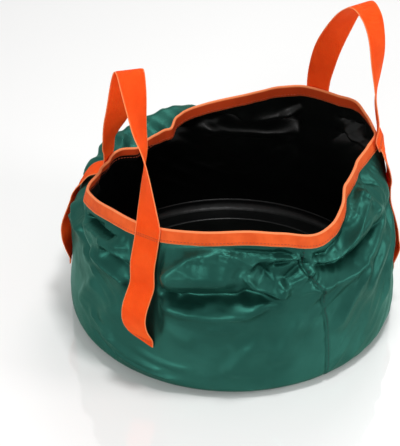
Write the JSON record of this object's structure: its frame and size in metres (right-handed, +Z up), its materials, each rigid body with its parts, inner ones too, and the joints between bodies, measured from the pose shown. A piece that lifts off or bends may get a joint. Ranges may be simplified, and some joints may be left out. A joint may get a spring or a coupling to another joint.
{
  "type": "collapsible bucket",
  "caption": "Round collapsible fabric bucket with a dark waterproof liner, a bound open rim and webbing carry handles whose straps run down the wall to sewn lower ends.",
  "frame": {"origin": "centre of the flat base, on the surface that the bucket stands on", "axes": "+Z up out of the mouth, +X towards the right handle, +Y away from the front-left rim"},
  "size_m": [0.306, 0.306, 0.2832],
  "materials": {
    "green_fabric": "coated, satin",
    "black_liner": "glossy film",
    "seam_tape": "glossy film",
    "orange_webbing": "woven, matte",
    "rim_binding": "woven tape, matte",
    "thread": "twisted thread"
  },
  "bodies": {
    "base": {"base_outer_panel": "green_fabric", "base_inner_liner": "black_liner", "base_seam_tape": "seam_tape", "wall_lower": "green_fabric", "liner_lower": "black_liner", "side_seam_tape_lower": "seam_tape", "strap_tail_left_front": "orange_webbing", "strap_tail_left_rear": "orange_webbing", "strap_tail_right_front": "orange_webbing", "strap_tail_right_rear": "orange_webbing", "strap_end_left_front": "orange_webbing", "strap_end_left_rear": "orange_webbing", "strap_end_right_front": "orange_webbing", "strap_end_right_rear": "orange_webbing", "end_tack_left_front": "thread", "end_tack_left_rear": "thread", "end_tack_right_front": "thread", "end_tack_right_rear": "thread"},
    "lower_middle": {"wall_lower_middle": "green_fabric", "liner_lower_middle": "black_liner", "side_seam_tape_lower_middle": "seam_tape"},
    "upper_middle": {"wall_upper_middle": "green_fabric", "liner_upper_middle": "black_liner", "side_seam_tape_upper_middle": "seam_tape"},
    "rim": {"wall_upper": "green_fabric", "liner_upper": "black_liner", "side_seam_tape_upper": "seam_tape", "rim_binding": "rim_binding", "strap_foot_left_front": "orange_webbing", "strap_foot_left_rear": "orange_webbing", "strap_foot_right_front": "orange_webbing", "strap_foot_right_rear": "orange_webbing", "rim_tack_left_front": "thread", "rim_tack_left_rear": "thread", "rim_tack_right_front": "thread", "rim_tack_right_rear": "thread"},
    "handle_left": {"handle_loop_left": "orange_webbing"},
    "handle_right": {"handle_loop_right": "orange_webbing"}
  },
  "joints": [
    {"name": "collapse", "type": "slide", "parent": "base", "child": "rim", "axis": [0, 0, -1], "range_m": [0, 0.09], "deforming": ["strap_tail_left_front", "strap_tail_left_rear", "strap_tail_right_front", "strap_tail_right_rear"]},
    {"name": "collapse_lower_middle", "type": "slide", "parent": "base", "child": "lower_middle", "axis": [0, 0, -1], "range_m": [0, 0.03]},
    {"name": "collapse_upper_middle", "type": "slide", "parent": "base", "child": "upper_middle", "axis": [0, 0, -1], "range_m": [0, 0.06]},
    {"name": "handle_left_swing", "type": "hinge", "parent": "rim", "child": "handle_left", "pos_m": [-0.10411, -0.00111, 0.15884], "axis": [-0.1482, -0.9827, 0.1114], "range_deg": [-70, 90]},
    {"name": "handle_right_swing", "type": "hinge", "parent": "rim", "child": "handle_right", "pos_m": [0.12536, 0.0143, 0.17714], "axis": [-0.0822, 0.9966, 0.0006], "range_deg": [-70, 90]}
  ],
  "couplings": [
    {"joint": "collapse_lower_middle", "follows": "collapse", "ratio": 0.33333},
    {"joint": "collapse_upper_middle", "follows": "collapse", "ratio": 0.66667}
  ]
}
